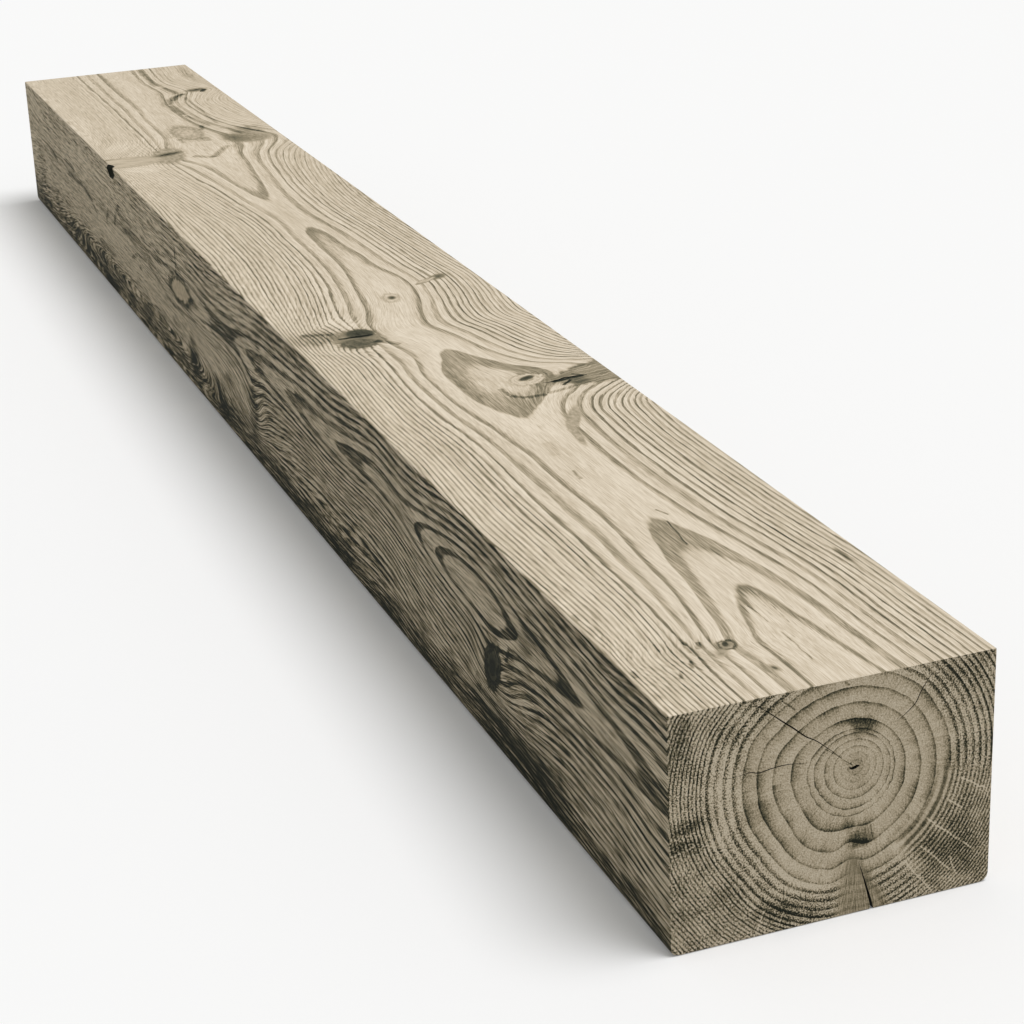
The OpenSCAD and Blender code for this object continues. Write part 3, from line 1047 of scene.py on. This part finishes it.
# The camera: its place, how far it looks down, its turn and roll in degrees, its lens and sensor, and
# how many metres it sees
CAMERA_PLACE = (1885.6, -531.1, 681.3)
CAMERA_DOWN = 21.69
CAMERA_TURN = 70.02
CAMERA_ROLL = -2.35
CAMERA_LENS = 84.34
SENSOR_W = 36
CAMERA_REACH = 100


class TimberSizes(bpy.types.PropertyGroup):
    """Sizes of the timber's skin."""
    upper_arris: FloatProperty(
        name="Upper arris", description="Radius on the two upper long edges",
        default=1.2 * MM, unit="LENGTH")
    lower_arris: FloatProperty(
        name="Lower arris", description="Radius on the two lower long edges",
        default=5 * MM, unit="LENGTH")
    end_arris: FloatProperty(
        name="End arris", description="Wear of the edges round the sawn ends",
        default=0.5 * MM, unit="LENGTH")
    cell_across: FloatProperty(
        name="Cell across", description="Spacing of the points round the section",
        default=2.3 * MM, unit="LENGTH")
    cell_along: FloatProperty(
        name="Cell along", description="Spacing of the points along the timber",
        default=7.5 * MM, unit="LENGTH")
    near_end_rings: IntProperty(
        name="Near end rings", description="Rows of points on the near end", default=36)
    far_end_rings: IntProperty(
        name="Far end rings", description="Rows of points on the far end", default=20)


class WoodColours(bpy.types.PropertyGroup):
    """Colours of the wood, from its palest to its darkest tone."""
    pale: FloatVectorProperty(
        name="Pale", description="Early wood", subtype="COLOR", default=(0.80, 0.705, 0.58))
    straw: FloatVectorProperty(
        name="Straw", description="Weathered early wood", subtype="COLOR", default=(0.57, 0.48, 0.36))
    brown: FloatVectorProperty(
        name="Brown", description="Late wood", subtype="COLOR", default=(0.265, 0.224, 0.15))
    olive: FloatVectorProperty(
        # Olive and black also paint the shade inside the splits; black is also reached at the darkened foot
        # of the left side
        name="Olive", description="Knots and stain", subtype="COLOR", default=(0.078, 0.075, 0.049))
    black: FloatVectorProperty(
        name="Black", description="Splits and damp wood", subtype="COLOR",
        default=(0.016, 0.019, 0.013))


class StageSettings(bpy.types.PropertyGroup):
    """Floor, light and camera."""
    floor_colour: FloatVectorProperty(
        name="Floor", description="Colour of the floor", subtype="COLOR", default=(0.94, 0.94, 0.958))
    floor_size: FloatProperty(
        name="Floor size", description="Side of the floor", default=30.0, unit="LENGTH")
    floor_glow: FloatProperty(
        name="Floor glow", description="Share of the floor that the camera sees without shade",
        default=0.1)
    floor_bounce: FloatVectorProperty(
        name="Floor bounce", description="Colour of the light that the floor sends up", subtype="COLOR",
        default=(0.40, 0.39, 0.335))
    key_strength: FloatProperty(name="Key light", description="Strength of the key light", default=2.03)
    key_angle: FloatProperty(
        name="Key size", description="Angle that the key light spans",
        default=radians(34), subtype="ANGLE")
    sky_strength: FloatProperty(
        name="Sky", description="Strength of the light from all sides", default=0.41)
    sky_colour: FloatVectorProperty(
        name="Sky colour", description="Colour of the light from all sides", subtype="COLOR",
        default=(1.0, 1.0, 0.935))


class OBJECT_OT_treated_timber(bpy.types.Operator):
    """Make the timber's skin with its splits, growth rings and wood."""
    bl_idname = "object.treated_timber"
    bl_label = "Treated Timber"

    def execute(self, context):
        sizes = context.scene.timber_sizes
        colours = context.scene.wood_colours
        points, quads, fans = timber_surface(sizes)
        mesh = new_mesh("sawn_timber", points, quads.tolist() + fans.tolist())
        timber = bpy.data.objects.new("sawn_timber", mesh)
        context.collection.objects.link(timber)
        cutter = cutter_object()
        context.collection.objects.link(cutter)
        woods = [wood_material(face, colours) for face in FACES]
        # The last material is painted shade inside the splits and the pocket
        for material in (*woods, split_shade_material(colours)):
            mesh.materials.append(material)
            cutter.data.materials.append(material)
        inside = np.full(len(cutter.data.polygons), len(woods))
        cutter.data.polygons.foreach_set("material_index", inside)
        cut = timber.modifiers.new("splits", "BOOLEAN")
        cut.operation = "DIFFERENCE"
        cut.solver = "EXACT"
        cut.object = cutter
        done = bpy.data.meshes.new_from_object(timber.evaluated_get(context.evaluated_depsgraph_get()))
        timber.modifiers.clear()
        timber.data = done
        done.name = "sawn_timber"
        bpy.data.objects.remove(cutter)
        bpy.data.meshes.remove(mesh)
        self.finish_surface(done)
        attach(timber, "root")
        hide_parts(NODE)
        return {"FINISHED"}

    def finish_surface(self, mesh):
        """Writes the ring number and the place along bent fibres on every point, gives each face its
        wood and smooths all but sharp edges."""
        flat = np.empty(3 * len(mesh.vertices))
        mesh.vertices.foreach_get("co", flat)
        x, y, z = flat.reshape(-1, 3).T / MM
        rings, flow_y, flow_z = ring_field(x, y, z)
        number = mesh.attributes.new("ring_number", "FLOAT", "POINT")
        number.data.foreach_set("value", rings.astype(np.float32))
        fibres = mesh.attributes.new("fibres", "FLOAT_VECTOR", "POINT")
        places = (np.stack([x, flow_y, flow_z], 1) * MM).astype(np.float32)
        fibres.data.foreach_set("vector", places.ravel())
        slots = np.empty(len(mesh.polygons), int)
        mesh.polygons.foreach_get("material_index", slots)
        normals = np.empty(3 * len(mesh.polygons), np.float32)
        mesh.polygons.foreach_get("normal", normals)
        facing = np.argmax(normals.reshape(-1, 3) @ np.array([face.normal for face in FACES]).T, axis=1)
        mesh.polygons.foreach_set("material_index", np.where(slots == len(FACES), slots, facing))
        mesh.shade_smooth()
        mesh.set_sharp_from_angle(angle=radians(SHARP_ANGLE))


class OBJECT_OT_timber_stage(bpy.types.Operator):
    """Make the pale floor, the soft light and the camera."""
    bl_idname = "object.timber_stage"
    bl_label = "Timber Stage"

    def execute(self, context):
        stage = context.scene.stage_settings
        self.floor(context, stage)
        self.light(context, stage)
        self.camera(context)
        context.scene.view_settings.view_transform = "Standard"
        return {"FINISHED"}

    def floor(self, context, stage):
        """Lays a plain floor that the camera sees pale and that sends little light up."""
        half = stage.floor_size / 2 / MM
        corners = [(x * half, y * half, -FLOOR_GAP) for x, y in ((-1, -1), (1, -1), (1, 1), (-1, 1))]
        floor = bpy.data.objects.new("floor", new_mesh("floor", corners, [[0, 1, 2, 3]]))
        context.collection.objects.link(floor)
        material, start = new_material("floor")
        path = start.add("ShaderNodeLightPath", output="Is Camera Ray")
        seen = path.most(path.out("Is Glossy Ray")).most(path.out("Is Transmission Ray"))
        bounce = start.add("ShaderNodeBsdfDiffuse", sockets={"Color": (*stage.floor_bounce, 1)})
        shaded = start.add("ShaderNodeBsdfDiffuse", sockets={"Color": (*stage.floor_colour, 1)})
        glow = start.add("ShaderNodeEmission", sockets={"Color": (*stage.floor_colour, 1)})
        shown = start.add("ShaderNodeMixShader", sockets={0: stage.floor_glow, 1: shaded, 2: glow})
        both = start.add("ShaderNodeMixShader", sockets={0: seen, 1: bounce, 2: shown})
        start.add("ShaderNodeOutputMaterial", sockets={"Surface": both})
        floor.data.materials.append(material)

    def light(self, context, stage):
        """Sets one wide key light from above and an even light from all sides."""
        key = bpy.data.objects.new("key", bpy.data.lights.new("key", "SUN"))
        key.data.energy = stage.key_strength
        key.data.angle = stage.key_angle
        key.rotation_euler = Euler((radians(KEY_TILT), radians(KEY_LEAN), 0))
        context.collection.objects.link(key)
        world = bpy.data.worlds.new("studio")
        world.use_nodes = True
        background = world.node_tree.nodes["Background"]
        background.inputs["Color"].default_value = (*stage.sky_colour, 1)
        background.inputs["Strength"].default_value = stage.sky_strength
        context.scene.world = world

    def camera(self, context):
        """Puts the camera where the picture was taken from."""
        camera = bpy.data.objects.new("camera", bpy.data.cameras.new("camera"))
        camera.location = tuple(c * MM for c in CAMERA_PLACE)
        turn = Euler((radians(90 - CAMERA_DOWN), 0, radians(CAMERA_TURN))).to_matrix()
        roll = Euler((0, 0, radians(CAMERA_ROLL))).to_matrix()
        camera.rotation_euler = (turn @ roll).to_euler()
        camera.data.sensor_width = SENSOR_W
        camera.data.lens = CAMERA_LENS
        camera.data.clip_end = CAMERA_REACH
        context.collection.objects.link(camera)
        context.scene.camera = camera


class VIEW3D_PT_treated_timber(bpy.types.Panel):
    """Lists what the timber is made with."""
    bl_idname = "VIEW3D_PT_treated_timber"
    bl_label = "Treated Timber"
    bl_space_type = "VIEW_3D"
    bl_region_type = "UI"
    bl_category = "Timber"

    def draw(self, context):
        for group in (context.scene.timber_sizes, context.scene.wood_colours, context.scene.stage_settings):
            box = self.layout.box()
            for name in group.__annotations__:
                box.prop(group, name)
        self.layout.operator(OBJECT_OT_treated_timber.bl_idname)
        self.layout.operator(OBJECT_OT_timber_stage.bl_idname)


CLASSES = (
    TimberSizes,
    WoodColours,
    StageSettings,
    OBJECT_OT_treated_timber,
    OBJECT_OT_timber_stage,
    VIEW3D_PT_treated_timber,
)


def register():
    for cls in CLASSES:
        bpy.utils.register_class(cls)
    bpy.types.Scene.timber_sizes = PointerProperty(type=TimberSizes)
    bpy.types.Scene.wood_colours = PointerProperty(type=WoodColours)
    bpy.types.Scene.stage_settings = PointerProperty(type=StageSettings)


def unregister():
    del bpy.types.Scene.stage_settings
    del bpy.types.Scene.wood_colours
    del bpy.types.Scene.timber_sizes
    for cls in reversed(CLASSES):
        bpy.utils.unregister_class(cls)


def main():
    register()
    bpy.ops.object.treated_timber()
    bpy.ops.object.timber_stage()


if __name__ == "__main__":
    main()
